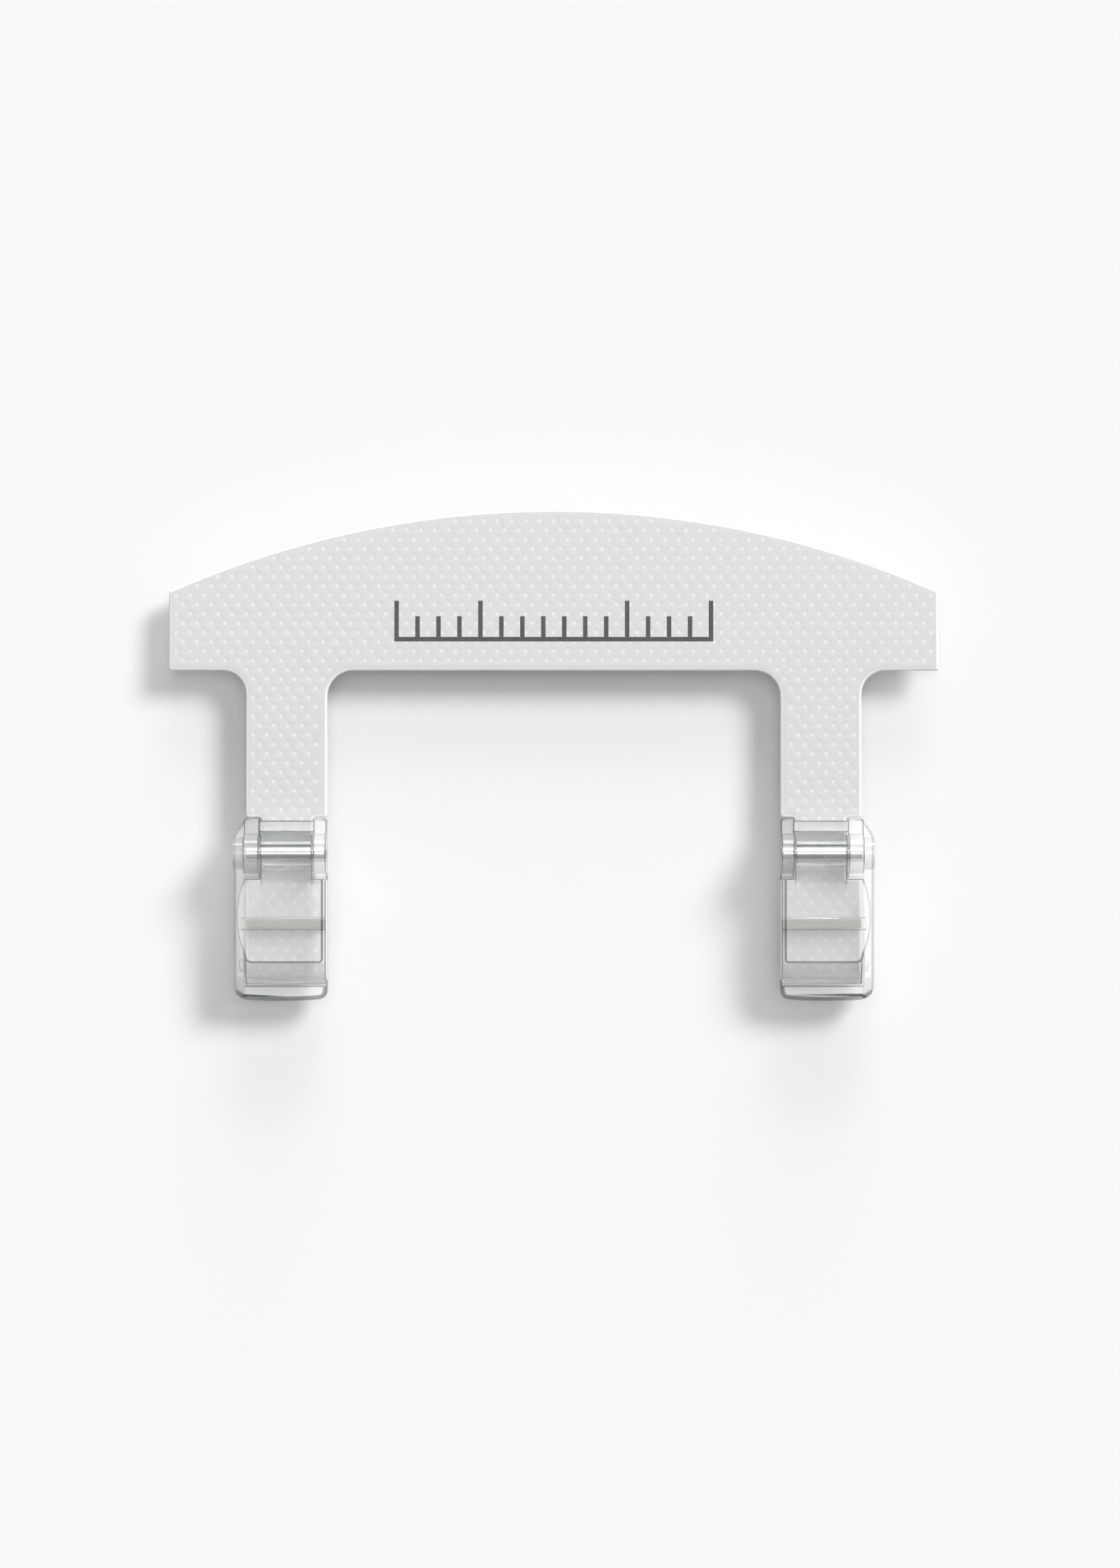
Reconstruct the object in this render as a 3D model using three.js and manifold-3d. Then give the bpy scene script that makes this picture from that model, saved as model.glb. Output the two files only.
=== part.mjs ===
// Highlighting cap: a clear silicone crescent with two straps, and a hinged hair clip on the end of each strap.
// Millimetres. The cap lies flat on its back: +X is across the head, +Y runs from the clips to the crown edge,
// +Z points away from the scalp. The origin is on the floor, in the middle of the cap's length and width.

import * as THREE from 'three';
import { mergeVertices } from 'three/addons/utils/BufferGeometryUtils.js';
import Module from 'manifold-3d';

const wasm = await Module();
wasm.setup();

// ---- Driving dimensions ----

const gap = 0.3;                    // between pieces that touch
const runningClearance = 0.1;       // radial, hinge pin in its bores

// Silicone cap
const capWidth = 223.4;
const capLength = 142.8;            // crown edge to the clips' lips
const sheetThickness = 1.5;
const crescentHeight = 46.9;        // at the middle
const crescentEndHeight = 23.2;     // at the square ends
const strapWidth = 23.6;
const strapCentre = 77.5;           // from the middle of the cap
const innerFillet = 7.5;            // strap to crescent, between the straps
const outerFillet = 6.8;            // strap to crescent, outside

// Clip, measured from the hinge axis towards the lip unless noted
const axisY = -28.5;
const barrelRadius = 5.5;
const lugNoseRadius = 5.8;
const lugWidth = 3.8;
const barrelWidth = 15;
const pinRadius = 1.5;
const clipTopY = -18.4;             // where the clip starts on the strap
const jawTopY = -35.9;
const toeStartY = -60.2;            // the jaw's face ends and its toe turns down
const toeEndY = -66.6;
const cheekWidth = 3.4;             // how far the clip stands out beyond the strap
const plateThickness = 3;
const wallThickness = 1.8;
const hairGap = 4.9;                // strap to the underside of the closed jaw
const gripBarWidth = 2.8;
const gripBarY = -48.8;
const gripBarPinch = 0.6;           // strap to grip bar, clip closed

// ---- Levels and places that follow ----

const halfWidth = capWidth / 2;
const crownY = capLength / 2;
const lipY = -capLength / 2;
const crescentEndY = crownY - crescentHeight + crescentEndHeight;
const crescentBottomY = crownY - crescentHeight;
const strapInner = strapCentre - strapWidth / 2;
const strapOuter = strapCentre + strapWidth / 2;
const clipOuter = strapOuter + cheekWidth;
const cheekInner = strapOuter + gap;
const lugInnerEdge = strapInner + lugWidth;
const lugOuterEdge = lugInnerEdge + barrelWidth + 2 * gap;

const strapBottomZ = plateThickness + gap;
const strapTopZ = strapBottomZ + sheetThickness;
const axisZ = strapTopZ + gap + barrelRadius;
const jawUndersideZ = strapTopZ + hairGap;
const jawBodyTopZ = jawUndersideZ + 1.5;
const jawFaceTopZ = jawUndersideZ + 2.3;
const wellAbove = 30;               // cutting tools reach this high

// ---- Solids ----

function solid(geometry) {
  const clean = geometry.clone();
  clean.deleteAttribute('normal');
  clean.deleteAttribute('uv');
  const merged = mergeVertices(clean, 1e-4);
  return new wasm.Manifold(new wasm.Mesh({
    numProp: 3,
    vertProperties: merged.attributes.position.array,
    triVerts: new Uint32Array(merged.index.array),
  }));
}

function geometryOf(body) {
  const mesh = body.getMesh();
  const geometry = new THREE.BufferGeometry();
  geometry.setAttribute('position', new THREE.BufferAttribute(mesh.vertProperties, 3));
  geometry.setIndex(new THREE.BufferAttribute(mesh.triVerts, 1));
  geometry.computeVertexNormals();
  return geometry;
}

// A polygon whose corners are [x, y, radius]: a radius rounds the corner with an arc.
function roundedShape(corners, arcSteps = 10) {
  const points = [];
  corners.forEach(([x, y, radius = 0], i) => {
    const corner = new THREE.Vector2(x, y);
    if (radius === 0) {
      points.push(corner);
      return;
    }
    const before = new THREE.Vector2(...corners.at(i - 1));
    const after = new THREE.Vector2(...corners[(i + 1) % corners.length]);
    const toBefore = before.sub(corner).normalize();
    const toAfter = after.sub(corner).normalize();
    const halfAngle = Math.acos(toBefore.dot(toAfter)) / 2;
    const toCentre = toBefore.clone().add(toAfter).normalize();
    const centre = corner.clone().addScaledVector(toCentre, radius / Math.sin(halfAngle));
    const start = corner.clone().addScaledVector(toBefore, radius / Math.tan(halfAngle)).sub(centre);
    const end = corner.clone().addScaledVector(toAfter, radius / Math.tan(halfAngle)).sub(centre);
    const turn = Math.atan2(start.cross(end), start.dot(end));
    for (let step = 0; step <= arcSteps; step += 1) {
      points.push(start.clone().rotateAround(new THREE.Vector2(), turn * step / arcSteps).add(centre));
    }
  });
  return new THREE.Shape(points);
}

// Points on a circle in a plane, from one angle to another.
function arcPoints(centreA, centreB, radius, fromAngle, toAngle, steps) {
  const points = [];
  for (let step = 0; step <= steps; step += 1) {
    const angle = fromAngle + (toAngle - fromAngle) * step / steps;
    points.push([centreA + radius * Math.cos(angle), centreB + radius * Math.sin(angle)]);
  }
  return points;
}

// An outline seen from above, standing from one height to another.
function standing(shape, bottomZ, topZ) {
  const geometry = new THREE.ExtrudeGeometry(shape, { depth: topZ - bottomZ, bevelEnabled: false });
  geometry.translate(0, 0, bottomZ);
  return solid(geometry);
}

// A profile in Y and Z, running across the cap from one X to another.
const acrossTheCap = new THREE.Matrix4().set(0, 0, 1, 0, 1, 0, 0, 0, 0, 1, 0, 0, 0, 0, 0, 1);
function across(shape, xA, xB) {
  const geometry = new THREE.ExtrudeGeometry(shape, { depth: Math.abs(xB - xA), bevelEnabled: false });
  geometry.applyMatrix4(acrossTheCap);
  geometry.translate(Math.min(xA, xB), 0, 0);
  return solid(geometry);
}

function block(xA, xB, yA, yB, zA, zB) {
  const geometry = new THREE.BoxGeometry(Math.abs(xB - xA), Math.abs(yB - yA), Math.abs(zB - zA));
  geometry.translate((xA + xB) / 2, (yA + yB) / 2, (zA + zB) / 2);
  return solid(geometry);
}

// A round bar along X on the hinge axis.
function hingeCylinder(radius, xA, xB, segments = 48) {
  const geometry = new THREE.CylinderGeometry(radius, radius, Math.abs(xB - xA), segments);
  geometry.rotateZ(Math.PI / 2);
  geometry.translate((xA + xB) / 2, axisY, axisZ);
  return solid(geometry);
}

// ---- Silicone cap ----

// One half of the outline, clockwise from the crown: end, strap, neck between the lugs, and tail under the jaw.
function capHalfCorners() {
  const neckTopY = clipTopY + gap;
  const neckOuter = lugOuterEdge - gap;
  const neckInner = lugInnerEdge + gap;
  const tailRadius = 2;
  const cornerRadius = 0.9;
  return [
    [halfWidth, crescentEndY, cornerRadius],
    [halfWidth, crescentBottomY, cornerRadius],
    [strapOuter, crescentBottomY, outerFillet],
    [strapOuter, neckTopY, cornerRadius],
    [neckOuter, neckTopY, cornerRadius],
    [neckOuter, jawTopY, cornerRadius],
    [strapOuter, jawTopY, cornerRadius],
    [strapOuter, toeEndY, tailRadius],
    [strapInner, toeEndY, tailRadius],
    [strapInner, jawTopY, cornerRadius],
    [neckInner, jawTopY, cornerRadius],
    [neckInner, neckTopY, cornerRadius],
    [strapInner, neckTopY, cornerRadius],
    [strapInner, crescentBottomY, innerFillet],
  ];
}

function crownArc(steps) {
  const rise = crescentHeight - crescentEndHeight;
  const radius = (halfWidth ** 2 + rise ** 2) / (2 * rise);
  const halfSweep = Math.asin(halfWidth / radius);
  const upright = Math.PI / 2;
  return arcPoints(0, crownY - radius, radius, upright + halfSweep, upright - halfSweep, steps);
}

// The strap leaves the clip level, and the sheet bends under its own weight until the crown edge meets the floor.
function sheetUndersideZ(y) {
  const span = Math.max(0, (y - clipTopY) / (crownY - clipTopY));
  return strapBottomZ * (1 - 1.5 * span ** 2 + 0.5 * span ** 3);
}

function bentSlab(steps) {
  const ys = [lipY];
  for (let step = 0; step <= steps; step += 1) {
    ys.push(clipTopY + (crownY + 1 - clipTopY) * step / steps);
  }
  const under = ys.map((y) => new THREE.Vector2(y, sheetUndersideZ(y)));
  const over = ys.map((y) => new THREE.Vector2(y, sheetUndersideZ(y) + sheetThickness)).reverse();
  return across(new THREE.Shape([...under, ...over]), -halfWidth - 1, halfWidth + 1);
}

function capSheet() {
  const rightHalf = capHalfCorners();
  const leftHalf = rightHalf.map(([x, y, radius]) => [-x, y, radius]).reverse();
  const crown = crownArc(36).slice(1, -1);
  const outline = roundedShape([...crown, ...rightHalf, ...leftHalf]);
  return standing(outline, -1, wellAbove).intersect(bentSlab(14));
}

// ---- Clip pieces: side is -1 for the left clip and 1 for the right ----

function clipOutline(side) {
  const innerCornerRadius = 2.6;
  const outerCornerRadius = 4.2;
  const shoulderY = clipTopY - 4.6;
  const shoulderRadius = 6;
  const lipBow = 0.7;                 // the middle of the lip stands out past its corners
  const middle = (strapInner + clipOuter) / 2;
  const halfLip = (clipOuter - strapInner) / 2;
  const bowRadius = (halfLip ** 2 + lipBow ** 2) / (2 * lipBow);
  const bowReach = Math.asin((halfLip - outerCornerRadius - 0.4) / bowRadius);
  const down = -Math.PI / 2;
  const bow = arcPoints(middle, lipY + bowRadius, bowRadius, down - bowReach, down + bowReach, 8);
  return roundedShape([
    [side * strapInner, clipTopY, 1],
    [side * strapInner, lipY + lipBow, innerCornerRadius],
    ...bow.map(([x, y]) => [side * x, y]),
    [side * clipOuter, lipY + lipBow, outerCornerRadius],
    [side * clipOuter, shoulderY, shoulderRadius],
    [side * strapOuter, clipTopY, 1],
  ]);
}

// A knuckle: a step at the strap's side, a round nose on the hinge axis, and a foot at the jaw's side.
function knuckleShape(noseRadius, stepZ, footZ) {
  const nose = arcPoints(axisY, axisZ, noseRadius, 0, Math.PI, 28);
  return roundedShape([
    [clipTopY, 0],
    [clipTopY, stepZ, 0.8],
    [axisY + noseRadius, stepZ],
    ...nose,
    [axisY - noseRadius, footZ],
    [jawTopY + gap, footZ, 0.5],
    [jawTopY + gap, 0],
  ]);
}

function clipBase(side) {
  const outline = clipOutline(side);
  const plate = standing(outline, 0, plateThickness);
  const envelope = standing(outline, 0, wellAbove);
  const lugStepZ = 9.6;
  const lugFootZ = 7.4;
  const cheekFootZ = 6.2;
  const cheekTopZ = jawUndersideZ - gap;

  const lip = block(side * strapInner, side * clipOuter, toeEndY - gap, lipY, plateThickness, strapTopZ);
  const cheekShape = roundedShape([
    [axisY - 2, 0],
    [axisY - 2, cheekTopZ],
    [toeEndY + 1.4, cheekTopZ, 3.6],
    [lipY - 1, strapTopZ],
    [lipY - 1, 0],
  ]);
  const cheek = across(cheekShape, side * cheekInner, side * clipOuter);
  const cheekKnuckle = across(knuckleShape(4.6, lugFootZ, cheekFootZ), side * cheekInner, side * clipOuter);
  const knuckle = knuckleShape(lugNoseRadius, lugStepZ, lugFootZ);
  const innerLug = across(knuckle, side * strapInner, side * lugInnerEdge);
  const outerLug = across(knuckle, side * lugOuterEdge, side * cheekInner);

  const barBottomZ = strapTopZ + gap;
  const barTopZ = 8.6;
  const crossbar = block(side * lugInnerEdge, side * lugOuterEdge, clipTopY - 0.6, clipTopY - 3.9,
    barBottomZ, barTopZ);
  const catchShape = roundedShape([
    [toeStartY + 1.2, 0],
    [toeStartY + 1.2, jawBodyTopZ - 0.4, 0.6],
    [toeStartY - 2.2, jawBodyTopZ - 0.4, 1.2],
    [toeStartY - 4.6, 0],
  ]);
  const catchPost = across(catchShape, side * cheekInner, side * (clipOuter - 1.8));

  const boreRadius = pinRadius + runningClearance;
  const bore = hingeCylinder(boreRadius, side * (strapInner - 1), side * cheekInner);
  return plate
    .add(lip).add(cheek).add(cheekKnuckle).add(innerLug).add(outerLug).add(catchPost)
    .add(crossbar)
    .intersect(envelope)
    .subtract(bore);
}

// The jaw's face seen from above: straight on the inner side, bowed on the outer side.
function jawFaceShape(side) {
  const bowRadius = 30;
  const bowY = -46.6;
  const bowOuter = clipOuter - 1.1;
  const topAngle = Math.asin((jawTopY - bowY) / bowRadius);
  const bottomAngle = Math.asin((bowY - toeStartY - 3) / bowRadius);
  const bow = arcPoints(bowOuter - bowRadius, bowY, bowRadius, topAngle, -bottomAngle, 16);
  return roundedShape([
    [side * (strapInner + 1), jawTopY],
    ...bow.map(([x, y]) => [side * x, y]),
    [side * (strapOuter - 0.4), toeStartY, 2],
    [side * (strapInner + 1), toeStartY, 1.2],
  ]);
}

// The jaw's body from the side: a flat plate whose toe turns down to the strap.
function jawBodyShape() {
  const toeBottomZ = strapTopZ + gap;
  const reach = toeStartY - toeEndY;
  const steps = 16;
  const outside = [];
  const inside = [];
  for (let step = 0; step <= steps; step += 1) {
    const angle = Math.PI / 2 * step / steps;
    const outsideRise = jawBodyTopZ - toeBottomZ;
    const insideRise = jawUndersideZ - toeBottomZ;
    outside.push([toeStartY - reach * Math.sin(angle), toeBottomZ + outsideRise * Math.cos(angle)]);
    inside.push([toeStartY - (reach - wallThickness) * Math.sin(angle), toeBottomZ + insideRise * Math.cos(angle)]);
  }
  return roundedShape([[jawTopY, jawUndersideZ], [jawTopY, jawBodyTopZ], ...outside, ...inside.reverse()]);
}

function clipJaw(side) {
  const bodyInner = strapInner + 0.2;
  const bodyOuter = strapOuter - 0.1;
  const barrelInner = lugInnerEdge + gap;
  const barrelOuter = lugOuterEdge - gap;

  const face = standing(jawFaceShape(side), jawUndersideZ, jawFaceTopZ);
  const body = across(jawBodyShape(), side * bodyInner, side * bodyOuter);
  const barrel = hingeCylinder(barrelRadius, side * barrelInner, side * barrelOuter, 72);
  const webShape = roundedShape([
    [axisY, axisZ - 4.2],
    [axisY, axisZ + 4.2],
    [axisY - 4.4, axisZ + 3.2, 2],
    [jawTopY - 0.8, jawFaceTopZ - 0.4],
    [jawTopY - 2.4, jawUndersideZ + 0.4],
    [axisY - 4.8, axisZ - 3.4, 2],
  ]);
  const web = across(webShape, side * barrelInner, side * barrelOuter);

  // The rib meets the base's crossbar when the jaw is fully open.
  const ribShape = roundedShape([
    [axisY + 1.9, axisZ + 4.6],
    [axisY + 2, axisZ + 6.4, 0.4],
    [axisY + 3.1, axisZ + 6.1, 0.4],
    [axisY + 3, axisZ + 4],
  ], 4);
  const stopRib = across(ribShape, side * barrelInner, side * barrelOuter);

  const barHalf = gripBarWidth / 2 + gap / 2;
  const groove = block(side * (bodyInner - 1), side * (bodyOuter + 1), gripBarY - barHalf, gripBarY + barHalf,
    jawUndersideZ - 1, jawUndersideZ + 0.8);
  const bore = hingeCylinder(pinRadius + runningClearance, side * strapInner, side * strapOuter);
  return face.add(body).subtract(groove).add(web).add(barrel).add(stopRib).subtract(bore);
}

function gripBar(side) {
  const half = gripBarWidth / 2 - gap / 2;
  const topZ = jawUndersideZ + 0.8 - gap;
  const bottomZ = strapTopZ + gripBarPinch;
  const shape = roundedShape([
    [gripBarY - half, topZ],
    [gripBarY - half, bottomZ, 1],
    [gripBarY + half, bottomZ, 1],
    [gripBarY + half, topZ],
  ]);
  return across(shape, side * (strapInner + 0.5), side * (strapOuter - 0.4));
}

function hingePin(side) {
  const inner = strapInner + gap;
  const outer = strapOuter - 0.2;
  const chamfer = 0.3;
  const length = outer - inner;
  const profile = [
    new THREE.Vector2(0, 0),
    new THREE.Vector2(pinRadius - chamfer, 0),
    new THREE.Vector2(pinRadius, chamfer),
    new THREE.Vector2(pinRadius, length - chamfer),
    new THREE.Vector2(pinRadius - chamfer, length),
    new THREE.Vector2(0, length),
  ];
  const geometry = new THREE.LatheGeometry(profile, 32);
  geometry.rotateZ(-Math.PI / 2);
  geometry.translate(side > 0 ? inner : -outer, axisY, axisZ);
  return solid(geometry);
}

// ---- Materials ----

function clearPlastic(color) {
  return new THREE.MeshStandardMaterial({ color, roughness: 0.08, metalness: 0, transparent: true, opacity: 0.45 });
}
const siliconeMaterial = new THREE.MeshStandardMaterial({
  color: 0xdddddd, roughness: 0.35, metalness: 0, transparent: true, opacity: 0.6,
});
const gripMaterial = new THREE.MeshStandardMaterial({ color: 0xb9b9b7, roughness: 0.5, metalness: 0 });
const pinMaterial = new THREE.MeshStandardMaterial({ color: 0xc4c5c8, roughness: 0.22, metalness: 1 });

// ---- Assembly ----

function piece(name, body, material) {
  const mesh = new THREE.Mesh(geometryOf(body), material);
  mesh.name = name;
  return mesh;
}

function clip(label, side) {
  const group = new THREE.Group();
  group.add(piece(`${label}_clip_base`, clipBase(side), clearPlastic(0xd9d9d8)));
  group.add(piece(`${label}_clip_jaw`, clipJaw(side), clearPlastic(0xd6d6d5)));
  group.add(piece(`${label}_grip_bar`, gripBar(side), gripMaterial));
  group.add(piece(`${label}_hinge_pin`, hingePin(side), pinMaterial));
  return group;
}

const highlightingCap = new THREE.Group();
highlightingCap.add(piece('cap_sheet', capSheet(), siliconeMaterial));
highlightingCap.add(clip('left', -1));
highlightingCap.add(clip('right', 1));

export default highlightingCap;
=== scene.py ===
"""Highlighting cap: the visual model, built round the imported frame, in metres."""

import math

import bmesh
import bpy
import numpy as np
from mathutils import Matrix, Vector
from mathutils.geometry import delaunay_2d_cdt


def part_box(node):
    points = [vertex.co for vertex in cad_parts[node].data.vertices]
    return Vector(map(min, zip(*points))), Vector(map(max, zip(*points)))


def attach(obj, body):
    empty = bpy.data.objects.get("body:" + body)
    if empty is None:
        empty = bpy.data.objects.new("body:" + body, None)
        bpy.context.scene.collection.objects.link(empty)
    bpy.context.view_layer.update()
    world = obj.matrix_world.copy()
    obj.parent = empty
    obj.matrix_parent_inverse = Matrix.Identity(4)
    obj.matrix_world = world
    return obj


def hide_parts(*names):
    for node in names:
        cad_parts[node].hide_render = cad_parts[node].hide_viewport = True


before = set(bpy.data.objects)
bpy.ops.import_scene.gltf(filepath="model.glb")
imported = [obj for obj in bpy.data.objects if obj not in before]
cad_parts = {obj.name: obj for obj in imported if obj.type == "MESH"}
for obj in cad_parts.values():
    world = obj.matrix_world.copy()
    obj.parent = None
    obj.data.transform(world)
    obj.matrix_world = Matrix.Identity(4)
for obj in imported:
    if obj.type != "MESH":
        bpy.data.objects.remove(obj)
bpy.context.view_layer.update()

MM = 0.001

# ---- Driving dimensions, in millimetres ----

SHEET_THICKNESS = 1.5
STRAP_WIDTH = 23.6
STRAP_CENTRE = 77.5
CRESCENT_HEIGHT = 46.9
CRESCENT_END_HEIGHT = 23.2
INNER_FILLET = 7.5
OUTER_FILLET = 6.8
SHEET_CORNER = 0.9
TAIL_CORNER = 2
NECK_WIDTH = 15.0                   # the strap between the clip's hinge lugs
LUG_WIDTH = 3.8
CLIP_TOP_Y = -18.4
JAW_TOP_Y = -35.9
PIECE_GAP = 0.3

HOLE_COLUMN_PITCH = 4.056           # along a row
HOLE_ROW_PITCH = 2.704              # rows are staggered by half a column
HOLE_ROW_Y = 30.26                  # a row with a hole on the centre line
HOLE_SIDES = 12
HOLE_MARGIN = 0.1                   # flat sheet between a dimple and the rounded rim
DIMPLE_RINGS = ((0.62, 1.5), (0.44, 1.475))     # radius, height above the underside
DIMPLE_MIDDLE = 1.465
RECESS_RINGS = ((0.62, 0.0), (0.4, 0.9))        # the blind recess under each dimple
RECESS_MIDDLE = 0.95
EDGE_ROUND = 0.7                    # radius of the sheet's moulded edges
EDGE_STEPS = 4
CROWN_STEPS = 90
CORNER_STEPS = 10
SHEET_SMOOTH_ANGLE = 30             # degrees; sharper edges stay sharp
THIN_LIGHT_SLOT = 1                       # places of the dimples' silicone, painted lighter for light through the thin skin, and of the rim's painted highlight, among the sheet's materials
RIM_HIGHLIGHT_SLOT = 2                        # the sheet's materials

cap_low, cap_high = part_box("cap_sheet")
half_width = cap_high.x / MM
crown_y = cap_high.y / MM
tail_y = cap_low.y / MM
strap_bottom_z = cap_high.z / MM - SHEET_THICKNESS
crescent_bottom_y = crown_y - CRESCENT_HEIGHT
crescent_end_y = crescent_bottom_y + CRESCENT_END_HEIGHT
strap_inner = STRAP_CENTRE - STRAP_WIDTH / 2
strap_outer = STRAP_CENTRE + STRAP_WIDTH / 2


# ---- Mesh helpers ----

def new_object(name, data):
    obj = bpy.data.objects.new(name, data)
    bpy.context.scene.collection.objects.link(obj)
    return obj


def smooth(mesh, angle):
    mesh.shade_smooth()
    mesh.set_sharp_from_angle(angle=math.radians(angle))


def apply_modifiers(obj):
    evaluated = obj.evaluated_get(bpy.context.evaluated_depsgraph_get())
    mesh = bpy.data.meshes.new_from_object(evaluated)
    obj.modifiers.clear()
    obj.data = mesh


def rounded_outline(corners):
    """Points of a polygon whose corners are (x, y, radius)."""
    points = []
    count = len(corners)
    for i, (x, y, radius) in enumerate(corners):
        corner = Vector((x, y))
        if not radius:
            points.append(corner)
            continue
        before = (Vector(corners[i - 1][:2]) - corner).normalized()
        after = (Vector(corners[(i + 1) % count][:2]) - corner).normalized()
        half_angle = math.acos(before.dot(after)) / 2
        centre = corner + (before + after).normalized() * (radius / math.sin(half_angle))
        start = corner + before * (radius / math.tan(half_angle)) - centre
        end = corner + after * (radius / math.tan(half_angle)) - centre
        turn = math.atan2(start.x * end.y - start.y * end.x, start.dot(end))
        for step in range(CORNER_STEPS + 1):
            angle = turn * step / CORNER_STEPS
            cos, sin = math.cos(angle), math.sin(angle)
            arm = Vector((start.x * cos - start.y * sin, start.x * sin + start.y * cos))
            points.append(centre + arm)
    return points


def inset(points, distance):
    """The clockwise outline moved inwards by distance, with the same number of points."""
    moved = []
    for i, point in enumerate(points):
        before = (point - points[i - 1]).normalized()
        after = (points[(i + 1) % len(points)] - point).normalized()
        inward_before = Vector((before.y, -before.x))
        inward_after = Vector((after.y, -after.x))
        middle = (inward_before + inward_after).normalized()
        moved.append(point + middle * (distance / middle.dot(inward_after)))
    return moved


def circle(centre, radius):
    turns = [2 * math.pi * i / HOLE_SIDES for i in range(HOLE_SIDES)]
    return [centre + radius * Vector((math.cos(a), math.sin(a))) for a in turns]


# ---- Silicone cap sheet ----

def cap_outline():
    """The cap's outline, clockwise from the crown, with each strap's neck and tail in its clip."""
    neck_top = CLIP_TOP_Y + PIECE_GAP
    neck_inner = strap_inner + LUG_WIDTH + PIECE_GAP
    neck_outer = neck_inner + NECK_WIDTH
    right = [
        (half_width, crescent_end_y, SHEET_CORNER),
        (half_width, crescent_bottom_y, SHEET_CORNER),
        (strap_outer, crescent_bottom_y, OUTER_FILLET),
        (strap_outer, neck_top, SHEET_CORNER),
        (neck_outer, neck_top, SHEET_CORNER),
        (neck_outer, JAW_TOP_Y, SHEET_CORNER),
        (strap_outer, JAW_TOP_Y, SHEET_CORNER),
        (strap_outer, tail_y, TAIL_CORNER),
        (strap_inner, tail_y, TAIL_CORNER),
        (strap_inner, JAW_TOP_Y, SHEET_CORNER),
        (neck_inner, JAW_TOP_Y, SHEET_CORNER),
        (neck_inner, neck_top, SHEET_CORNER),
        (strap_inner, neck_top, SHEET_CORNER),
        (strap_inner, crescent_bottom_y, INNER_FILLET),
    ]
    left = [(-x, y, radius) for x, y, radius in reversed(right)]
    rise = CRESCENT_HEIGHT - CRESCENT_END_HEIGHT
    radius = (half_width ** 2 + rise ** 2) / (2 * rise)
    sweep = math.asin(half_width / radius)
    crown = []
    for step in range(1, CROWN_STEPS):
        angle = sweep * (2 * step / CROWN_STEPS - 1)
        crown.append((radius * math.sin(angle), crown_y - radius + radius * math.cos(angle), 0))
    return rounded_outline(crown + right + left)


def underside_z(y):
    """The strap leaves the clip level and the sheet sinks, as a bar held at one end bends."""
    span = max(0.0, (y - CLIP_TOP_Y) / (crown_y - CLIP_TOP_Y))
    return strap_bottom_z * (1 - 1.5 * span ** 2 + 0.5 * span ** 3)


def on_sheet(x, y, height):
    """A point at a height above the sheet's underside, in metres."""
    return (x * MM, y * MM, (underside_z(y) + height) * MM)


def hole_centres(outline, clearance):
    """Centres of the staggered grid that keep their distance from the outline."""
    loop = np.array([tuple(p) for p in outline])
    ahead = np.roll(loop, -1, axis=0)
    along = ahead - loop
    length_squared = (along ** 2).sum(1)
    centres = []
    first_row = math.ceil((tail_y - HOLE_ROW_Y) / HOLE_ROW_PITCH)
    last_row = int((crown_y - HOLE_ROW_Y) / HOLE_ROW_PITCH)
    columns = int(half_width / HOLE_COLUMN_PITCH) + 1
    for row in range(first_row, last_row + 1):
        y = HOLE_ROW_Y + row * HOLE_ROW_PITCH
        stagger = 0.5 if row % 2 else 0.0
        for column in range(-columns, columns + 1):
            point = np.array([(column + stagger) * HOLE_COLUMN_PITCH, y])
            share = np.clip(((point - loop) * along).sum(1) / length_squared, 0, 1)
            distance = np.sqrt(((loop + along * share[:, None] - point) ** 2).sum(1)).min()
            crosses = (loop[:, 1] > y) != (ahead[:, 1] > y)
            with np.errstate(divide="ignore", invalid="ignore"):
                x_at_row = loop[:, 0] + (y - loop[:, 1]) / along[:, 1] * along[:, 0]
            inside = np.count_nonzero(crosses & (x_at_row > point[0])) % 2 == 1
            if inside and distance > clearance:
                centres.append(Vector(point))
    return centres


def edge_rings():
    """Inset and height of each ring from the top face round the moulded edge to the underside."""
    upper = []
    for step in range(EDGE_STEPS + 1):
        angle = math.pi / 2 * step / EDGE_STEPS
        height = SHEET_THICKNESS - EDGE_ROUND * (1 - math.cos(angle))
        upper.append((EDGE_ROUND * (1 - math.sin(angle)), height))
    return upper + [(distance, SHEET_THICKNESS - height) for distance, height in reversed(upper)]


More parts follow.
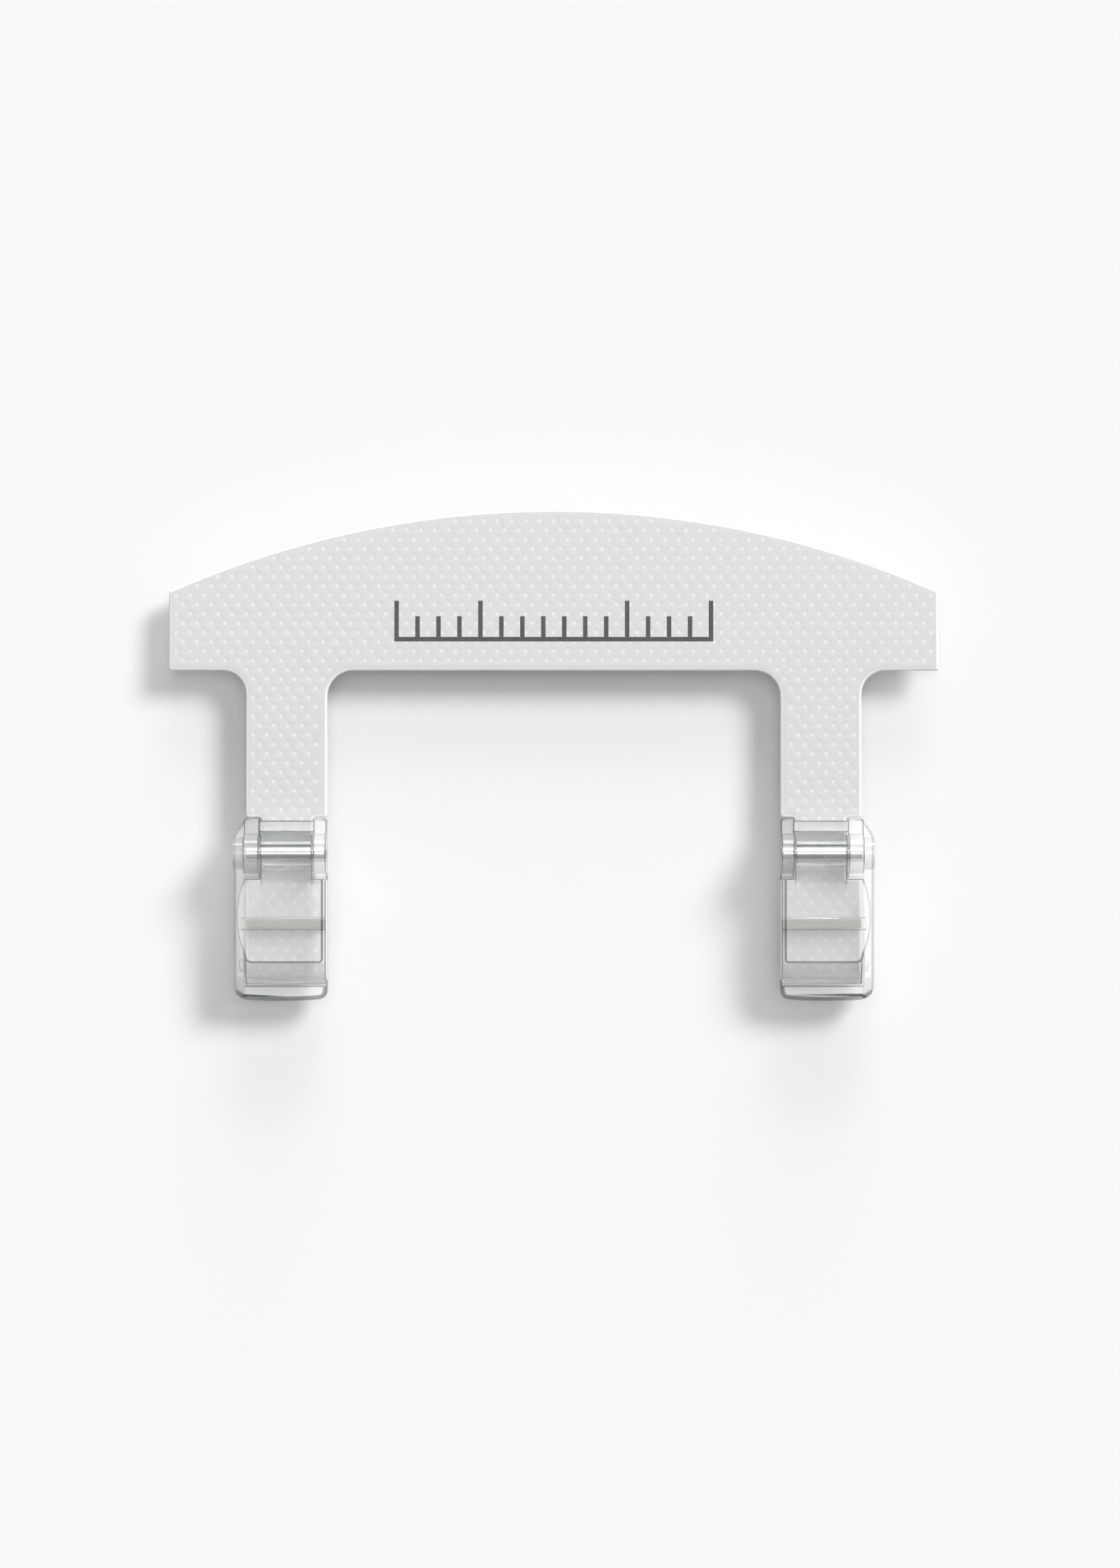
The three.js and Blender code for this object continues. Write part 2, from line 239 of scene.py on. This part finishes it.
def build_cap_sheet():
    outline = cap_outline()
    holes = hole_centres(outline, DIMPLE_RINGS[0][0] + EDGE_ROUND + HOLE_MARGIN)
    count = len(outline)
    vertices = []
    faces = []

    rings = edge_rings()
    for distance, height in rings:
        vertices += [on_sheet(p.x, p.y, height) for p in inset(outline, distance)]
    for ring in range(len(rings) - 1):
        upper = ring * count
        lower = upper + count
        for i in range(count):
            j = (i + 1) % count
            faces.append((upper + i, upper + j, lower + j, lower + i))
    last_ring = (len(rings) - 1) * count
    # the upper half of the rounded rim, which gets a painted highlight
    rim_highlight_faces = range(EDGE_STEPS * count)

    # Each hole is a shallow dimple in the top face and a blind recess in the underside, with a
    # thin skin between.
    first_hole = len(vertices)
    per_hole = HOLE_SIDES * (len(DIMPLE_RINGS) + len(RECESS_RINGS)) + 2
    dimple_faces = []
    for number, centre in enumerate(holes):
        start = first_hole + number * per_hole
        for radius, height in DIMPLE_RINGS + RECESS_RINGS:
            vertices += [on_sheet(p.x, p.y, height) for p in circle(centre, radius)]
        vertices += [on_sheet(*centre, DIMPLE_MIDDLE), on_sheet(*centre, RECESS_MIDDLE)]
        for bowl, middle in ((0, per_hole - 2), (len(DIMPLE_RINGS), per_hole - 1)):
            outer = start + bowl * HOLE_SIDES
            inner = outer + HOLE_SIDES
            for i in range(HOLE_SIDES):
                j = (i + 1) % HOLE_SIDES
                wall = (outer + i, outer + j, inner + j, inner + i)
                floor = (inner + i, inner + j, start + middle)
                if bowl:
                    wall, floor = wall[::-1], floor[::-1]
                else:
                    dimple_faces += [len(faces), len(faces) + 1]
                faces += [wall, floor]

    # One flat triangulation serves the top face and the underside.
    flat = inset(outline, EDGE_ROUND)
    loops = [list(range(count))]
    for centre in holes:
        loops.append(list(range(len(flat), len(flat) + HOLE_SIDES)))
        flat += circle(centre, DIMPLE_RINGS[0][0])
    edges = [(loop[i - 1], loop[i]) for loop in loops for i in range(len(loop))]
    _, _, triangles, sources, _, _ = delaunay_2d_cdt(flat, edges, [], 2, 1e-7)
    origin = [source[0] for source in sources]

    def top_index(i):
        if i < count:
            return i
        hole, side = divmod(i - count, HOLE_SIDES)
        return first_hole + hole * per_hole + side

    def under_index(i):
        if i < count:
            return last_ring + i
        return top_index(i) + len(DIMPLE_RINGS) * HOLE_SIDES

    for triangle in triangles:
        corners = [origin[i] for i in triangle]
        loops_met = {(i - count) // HOLE_SIDES for i in corners}
        inside_a_hole = len(loops_met) == 1 and min(corners) >= count
        if not inside_a_hole:
            faces.append([top_index(i) for i in corners])
            faces.append([under_index(i) for i in reversed(corners)])

    mesh = bpy.data.meshes.new("cap_sheet_moulded")
    mesh.from_pydata(vertices, [], faces)
    work = bmesh.new()
    work.from_mesh(mesh)
    bmesh.ops.recalc_face_normals(work, faces=work.faces)
    work.to_mesh(mesh)
    work.free()
    # The dimples' thin skin takes a lighter silicone, painted light as if shining through it.
    for slot_index, indices in ((THIN_LIGHT_SLOT, dimple_faces), (RIM_HIGHLIGHT_SLOT, rim_highlight_faces)):
        for index in indices:
            mesh.polygons[index].material_index = slot_index
    smooth(mesh, SHEET_SMOOTH_ANGLE)
    return new_object("cap_sheet_moulded", mesh)


# ---- Clip pieces: the CAD solids with their moulded edges rounded ----

HARD_ANGLE = 24                     # degrees; shallower edges belong to a curved face
CLIP_SMOOTH_ANGLE = 34
WELD_DISTANCE = 0.03
FLAT_ANGLE = 0.8                    # degrees; faces that meet at less become one
BEVEL_SEGMENTS = 4
NORMAL_WEIGHT = 80                  # how firmly large faces hold their own normals

CLIP_MIDDLE = Vector((79.2, -50.0))
CLIP_OUTER = 92.7
TOE_END_Y = -66.6
CHEEK_START_Y = -32.5               # where the cheek's top edge leaves the knuckle
CHEEK_TOP_Z = 9.4
CHEEK_WALL_Z = 5.0                  # the cheek's free wall stands above this
RIM_BOTTOM_Z = 3.5                  # edges lower than this belong to the base plate
CHEEK_OVERRUN = 1.5                 # how far the cheek's rounded strips run on past the toe
FACE_BOTTOM_Z = 11.5                # the jaw's raised face lies above this
PLACE_MARGIN = 0.1
LOOKS_DOWN = -0.1                   # a normal's height from which a face counts as an underside
RIM_AWAY = 0.5                      # how far outwards, by rim_place, a rim's wall has to face
FACE_AWAY = 3


def rim_place(edge):
    """Where an upper edge lies, in mm with X outwards, and how far its wall faces outwards.

    The second value grows with the wall's distance from the clip's middle. An edge with a face
    that looks down has no place.
    """
    middle = (edge.verts[0].co + edge.verts[1].co) / (2 * MM)
    side = math.copysign(1, middle.x)
    if min(face.normal.z for face in edge.link_faces) < LOOKS_DOWN:
        return None
    wall = min(edge.link_faces, key=lambda face: abs(face.normal.z)).normal
    place = Vector((side * middle.x, middle.y, middle.z))
    away = (place.x - CLIP_MIDDLE.x) * side * wall.x + (place.y - CLIP_MIDDLE.y) * wall.y
    return place, away


def on_base_rim(edge):
    """The clip base's upper rim, along the outer cheek and round the lip."""
    found = rim_place(edge)
    if not found:
        return False
    (x, y, z), away = found
    if away < RIM_AWAY or z < RIM_BOTTOM_Z:
        return False
    on_side = x > CLIP_OUTER - PLACE_MARGIN
    on_cheek = on_side and y < CHEEK_START_Y and z < CHEEK_TOP_Z + PLACE_MARGIN
    return on_cheek or y < TOE_END_Y + PLACE_MARGIN


def on_face_rim(edge):
    """The two long edges of the jaw's raised face."""
    found = rim_place(edge)
    if not found:
        return False
    place, away = found
    on_face = place.z > FACE_BOTTOM_Z and place.y < JAW_TOP_Y - PLACE_MARGIN
    return on_face and away > FACE_AWAY


def nowhere(edge):
    return False


def moulded(node, edge_radius, wide_radius, is_wide):
    """A copy of a CAD solid, cleaned of its triangles, with every outer edge rounded.

    Edges that is_wide picks out get wide_radius and the others edge_radius. The rounded strips
    take the piece's second material, a painted dark edge on the clear pieces, apart from those
    on the outer cheek.
    """
    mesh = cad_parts[node].data.copy()
    mesh.materials.clear()
    work = bmesh.new()
    work.from_mesh(mesh)
    bmesh.ops.remove_doubles(work, verts=work.verts, dist=WELD_DISTANCE * MM)
    bmesh.ops.dissolve_limit(
        work, angle_limit=math.radians(FLAT_ANGLE), verts=work.verts, edges=work.edges)
    weights = []
    for edge in work.edges:
        joined = len(edge.link_faces) == 2
        hard = joined and edge.calc_face_angle_signed() > math.radians(HARD_ANGLE)
        radius = wide_radius if hard and is_wide(edge) else edge_radius
        weights.append(radius / wide_radius if hard else 0.0)
    work.to_mesh(mesh)
    work.free()
    layer = mesh.attributes.new("bevel_weight_edge", "FLOAT", "EDGE")
    layer.data.foreach_set("value", weights)
    mesh.materials.append(None)
    mesh.materials.append(None)
    obj = new_object(node + "_moulded", mesh)
    bevel = obj.modifiers.new("edges", "BEVEL")
    bevel.width = wide_radius * MM
    bevel.segments = BEVEL_SEGMENTS
    bevel.limit_method = "WEIGHT"
    bevel.use_clamp_overlap = False
    bevel.miter_outer = "MITER_ARC"
    bevel.material = 1
    apply_modifiers(obj)
    # the outer cheek's strips go back to the main material, so the painted dark edge stops there
    for face in obj.data.polygons:
        x, y, z = face.center / MM
        if abs(x) > strap_outer + PIECE_GAP and y > TOE_END_Y - CHEEK_OVERRUN and z > CHEEK_WALL_Z:
            face.material_index = 0
    smooth(obj.data, CLIP_SMOOTH_ANGLE)
    weighted = obj.modifiers.new("flat faces stay flat", "WEIGHTED_NORMAL")
    weighted.keep_sharp = True
    weighted.weight = NORMAL_WEIGHT
    return obj


# ---- Materials ----

SILICONE_IOR = 1.41
CLEAR_PLASTIC_IOR = 1.58
SHEET_SILICONES = (                 # name, tone, alpha
    ("clear_silicone", 0.69, 0.92),
    # painted light: the thin skin is lighter, as if light shone through it
    ("thin_silicone_painted_light", 0.81, 0.9),
    # painted highlight: near-white silicone on the upper half of the rounded rim
    ("rim_painted_highlight", 0.95, 0.92),
)
CLEAR_PLASTICS = (                  # name, tone, transmission, alpha
    ("clear_plastic_base", 0.97, 0.72, 0.68),
    ("clear_plastic_jaw", 0.96, 0.9, 0.48),
    # painted shade: near-black glass for the clear pieces' rounded edges, standing for dark
    # refraction
    ("clear_plastic_painted_dark_edge", 0.2, 1.0, 0.9),
)


def shader_of(name):
    material = bpy.data.materials.new(name)
    material.use_nodes = True
    tree = material.node_tree
    return material, tree.nodes, tree.links, tree.nodes["Principled BSDF"]


def grey(tone):
    return (tone, tone, tone, 1)


def noise_value(nodes, links, scale, low, high):
    """A noise that runs from low to high over the piece, in object space."""
    place = nodes.new("ShaderNodeTexCoord")
    noise = nodes.new("ShaderNodeTexNoise")
    noise.inputs["Scale"].default_value = scale
    noise.inputs["Detail"].default_value = 3.0
    links.new(place.outputs["Object"], noise.inputs["Vector"])
    spread = nodes.new("ShaderNodeMapRange")
    for name, value in (("From Min", 0.3), ("From Max", 0.7), ("To Min", low), ("To Max", high)):
        spread.inputs[name].default_value = value
    links.new(noise.outputs["Fac"], spread.inputs["Value"])
    return spread.outputs["Result"]


def bump_from(nodes, links, shader, height, strength, distance):
    bump = nodes.new("ShaderNodeBump")
    bump.inputs["Strength"].default_value = strength
    bump.inputs["Distance"].default_value = distance
    links.new(height, bump.inputs["Height"])
    links.new(bump.outputs["Normal"], shader.inputs["Normal"])


def silicone_material(name, tone, alpha):
    material, nodes, links, shader = shader_of(name)
    shader.inputs["Base Color"].default_value = grey(tone)
    shader.inputs["IOR"].default_value = SILICONE_IOR
    shader.inputs["Alpha"].default_value = alpha
    satin = noise_value(nodes, links, scale=240, low=0.26, high=0.32)
    links.new(satin, shader.inputs["Roughness"])
    grain = noise_value(nodes, links, scale=1400, low=0, high=1)
    bump_from(nodes, links, shader, grain, strength=0.12, distance=0.00002)
    return material


def clear_plastic_material(name, tone, transmission, alpha):
    material, nodes, links, shader = shader_of(name)
    shader.inputs["Base Color"].default_value = grey(tone)
    shader.inputs["IOR"].default_value = CLEAR_PLASTIC_IOR
    shader.inputs["Transmission Weight"].default_value = transmission
    shader.inputs["Alpha"].default_value = alpha
    polish = noise_value(nodes, links, scale=160, low=0.0, high=0.02)
    links.new(polish, shader.inputs["Roughness"])
    return material


def grip_material():
    material, nodes, links, shader = shader_of("grip_silicone")
    shader.inputs["Base Color"].default_value = (0.5, 0.5, 0.49, 1)
    shader.inputs["IOR"].default_value = SILICONE_IOR
    shader.inputs["Transmission Weight"].default_value = 0.3
    shader.inputs["Alpha"].default_value = 0.75
    matte = noise_value(nodes, links, scale=700, low=0.4, high=0.6)
    links.new(matte, shader.inputs["Roughness"])
    grain = noise_value(nodes, links, scale=3000, low=0, high=1)
    bump_from(nodes, links, shader, grain, strength=0.3, distance=0.00003)
    return material


def steel_material():
    material, nodes, links, shader = shader_of("pin_steel")
    shader.inputs["Base Color"].default_value = (0.72, 0.72, 0.73, 1)
    shader.inputs["Metallic"].default_value = 1.0
    brushed = noise_value(nodes, links, scale=900, low=0.12, high=0.28)
    links.new(brushed, shader.inputs["Roughness"])
    grain = noise_value(nodes, links, scale=2600, low=0, high=1)
    bump_from(nodes, links, shader, grain, strength=0.15, distance=0.00002)
    return material


def ink_material():
    material, nodes, links, shader = shader_of("printed_ink")
    tone = nodes.new("ShaderNodeMix")
    tone.data_type = "RGBA"
    tone.inputs["A"].default_value = grey(0.055)
    tone.inputs["B"].default_value = grey(0.085)
    mottle = noise_value(nodes, links, scale=1200, low=0, high=1)
    links.new(mottle, tone.inputs["Factor"])
    links.new(tone.outputs["Result"], shader.inputs["Base Color"])
    matte = noise_value(nodes, links, scale=600, low=0.4, high=0.6)
    links.new(matte, shader.inputs["Roughness"])
    return material


# ---- Printed centring scale, in millimetres ----

SCALE_BASE_Y = 33.0
SCALE_LINE = 1.3
SCALE_TICK_PITCH = 6.084            # three half columns, so ticks stand between holes
SCALE_TICKS = 8                     # on each side of the middle
LONG_TICK_EVERY = 4
LONG_TICK = 10.5
SHORT_TICK = 6.0
TICK_GAP = 0.02
INK_THICKNESS = 0.03
INK_LIFT = 0.01
INK_STEP = 1.5                      # the ink follows the sheet's slope in steps this long


def ink_bar(work, x_low, x_high, y_low, y_high):
    steps = max(1, round((y_high - y_low) / INK_STEP))
    bottom = SHEET_THICKNESS + INK_LIFT
    top = bottom + INK_THICKNESS
    rows = []
    for step in range(steps + 1):
        y = y_low + (y_high - y_low) * step / steps
        places = ((x_low, bottom), (x_high, bottom), (x_high, top), (x_low, top))
        rows.append([work.verts.new(on_sheet(x, y, height)) for x, height in places])
    for low, high in zip(rows, rows[1:]):
        for i in range(4):
            work.faces.new((low[i], low[(i + 1) % 4], high[(i + 1) % 4], high[i]))
    work.faces.new(rows[0][::-1])
    work.faces.new(rows[-1])


def build_scale():
    work = bmesh.new()
    half = (SCALE_TICKS - 0.5) * SCALE_TICK_PITCH + SCALE_LINE / 2
    ink_bar(work, -half, half, SCALE_BASE_Y, SCALE_BASE_Y + SCALE_LINE)
    foot = SCALE_BASE_Y + SCALE_LINE + TICK_GAP
    for side in (-1, 1):
        for tick in range(SCALE_TICKS):
            x = side * (tick + 0.5) * SCALE_TICK_PITCH
            height = SHORT_TICK if (tick + 1) % LONG_TICK_EVERY else LONG_TICK
            ink_bar(work, x - SCALE_LINE / 2, x + SCALE_LINE / 2, foot, foot + height)
    mesh = bpy.data.meshes.new("printed_scale")
    bmesh.ops.recalc_face_normals(work, faces=work.faces)
    work.to_mesh(mesh)
    work.free()
    return new_object("printed_scale", mesh)


# ---- Assembly ----

sheet = build_cap_sheet()
for look in SHEET_SILICONES:
    sheet.data.materials.append(silicone_material(*look))
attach(sheet, "cap")
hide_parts("cap_sheet")

scale = build_scale()
scale.data.materials.append(ink_material())
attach(scale, "cap")

base_clear, jaw_clear, painted_dark_edge = [clear_plastic_material(*look) for look in CLEAR_PLASTICS]
grip = grip_material()
steel = steel_material()

# Each row ends with the radius of most edges, the radius of the edges picked out, both in
# millimetres, and the function that picks them out.
for label in ("left", "right"):
    jaw_body = label + "_jaw"
    for node, body, slot, main, edge, edge_radius, wide_radius, is_wide in (
        ("clip_base", "cap", "clear_plastic", base_clear, painted_dark_edge, 0.35, 1.3, on_base_rim),
        ("clip_jaw", jaw_body, "clear_plastic", jaw_clear, painted_dark_edge, 0.3, 0.6, on_face_rim),
        ("grip_bar", jaw_body, "grip_silicone", grip, grip, 0.2, 0.2, nowhere),
        ("hinge_pin", "cap", "pin_steel", steel, steel, 0.08, 0.08, nowhere),
    ):
        name = f"{label}_{node}"
        piece = moulded(name, edge_radius, wide_radius, is_wide)
        piece.data.materials[0] = main
        # edge is the rounded strips' material; on the clear pieces it is the painted dark edge
        piece.data.materials[1] = edge
        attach(piece, body)
        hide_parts(name)

# ---- Floor, light and camera ----

FRAME_HEIGHT = 0.4548               # what the picture covers at the cap's top face, top to bottom
LENS = 135
SENSOR = 36
VIEW_DEPTHS = (0.05, 20)
VIEW_CENTRE = Vector((0.0018, -0.0084))
FLOOR_SIZE = 8
FLOOR_TONE = 0.9
FLOOR_DROP = 0.008                  # the floor stands clear below, so shadows fall beside the cap
ROOM_LIGHT = 0.38                   # from overhead; it fades to ROOM_DARK beyond the clips' lips
ROOM_DARK = 0.02
ROOM_BRIGHT_SIDE = (0, 0.4, 1)
ROOM_FADE = (-0.1, 0.5)             # cosines where the fade starts and ends
KEY_LIGHT = 2.1
KEY_WIDTH = 22                      # degrees
KEY_ELEVATION = 42                  # degrees
KEY_SIDE = (0.75, 0.66)
SOFTBOXES = (                       # direction, cosine at the edge, cosine where full, strength
    ((0.0, 0.139, 0.99), 0.966, 0.978, 2.8),
    ((0.1, 0.95, 0.3), 0.972, 0.984, 9.0),
)
GLASS_BOUNCES = 32                  # a view through a clip crosses many faces
GLASS_CLAMP = 20
GLASS_BLUR = 0.05


def build_floor():
    bpy.ops.mesh.primitive_plane_add(size=FLOOR_SIZE, location=(0, 0, -FLOOR_DROP))
    floor = bpy.context.object
    floor.name = "floor"
    material, _, _, shader = shader_of("pale_floor")
    shader.inputs["Base Color"].default_value = grey(FLOOR_TONE)
    shader.inputs["Specular IOR Level"].default_value = 0.0
    shader.inputs["Roughness"].default_value = 0.9
    floor.data.materials.append(material)


def build_room():
    world = bpy.data.worlds.new("studio")
    bpy.context.scene.world = world
    world.use_nodes = True
    nodes, links = world.node_tree.nodes, world.node_tree.links
    place = nodes.new("ShaderNodeTexCoord")

    def towards(direction, edge, full, dark, bright):
        """Strength rising from dark to bright as the view nears a direction."""
        near = nodes.new("ShaderNodeVectorMath")
        near.operation = "DOT_PRODUCT"
        near.inputs[1].default_value = Vector(direction).normalized()
        spread = nodes.new("ShaderNodeMapRange")
        limits = (("From Min", edge), ("From Max", full), ("To Min", dark), ("To Max", bright))
        for name, value in limits:
            spread.inputs[name].default_value = value
        links.new(place.outputs["Generated"], near.inputs[0])
        links.new(near.outputs["Value"], spread.inputs["Value"])
        return spread.outputs["Result"]

    total = towards(ROOM_BRIGHT_SIDE, *ROOM_FADE, ROOM_DARK, ROOM_LIGHT)
    for direction, edge, full, strength in SOFTBOXES:
        add = nodes.new("ShaderNodeMath")
        add.operation = "ADD"
        links.new(total, add.inputs[0])
        links.new(towards(direction, edge, full, 0, strength), add.inputs[1])
        total = add.outputs["Value"]
    links.new(total, nodes["Background"].inputs["Strength"])
    nodes["Background"].inputs["Color"].default_value = grey(1)


def build_key_light():
    data = bpy.data.lights.new("key", "SUN")
    data.energy = KEY_LIGHT
    data.angle = math.radians(KEY_WIDTH)
    sun = new_object("key", data)
    elevation = math.radians(KEY_ELEVATION)
    across = math.cos(elevation)
    source = Vector((KEY_SIDE[0] * across, KEY_SIDE[1] * across, math.sin(elevation)))
    sun.rotation_euler = source.to_track_quat("Z", "Y").to_euler()


def build_camera():
    data = bpy.data.cameras.new("camera")
    data.lens = LENS
    data.sensor_width = SENSOR
    data.clip_start, data.clip_end = VIEW_DEPTHS
    camera = new_object("camera", data)
    distance = LENS * FRAME_HEIGHT / SENSOR
    camera.location = (VIEW_CENTRE.x, VIEW_CENTRE.y, distance + cap_high.z)
    bpy.context.scene.camera = camera


build_floor()
build_room()
build_key_light()
build_camera()
bpy.context.scene.view_settings.view_transform = "Standard"
cycles = bpy.context.scene.cycles
cycles.max_bounces = GLASS_BOUNCES
cycles.transmission_bounces = GLASS_BOUNCES
cycles.transparent_max_bounces = GLASS_BOUNCES
cycles.sample_clamp_indirect = GLASS_CLAMP
cycles.blur_glossy = GLASS_BLUR
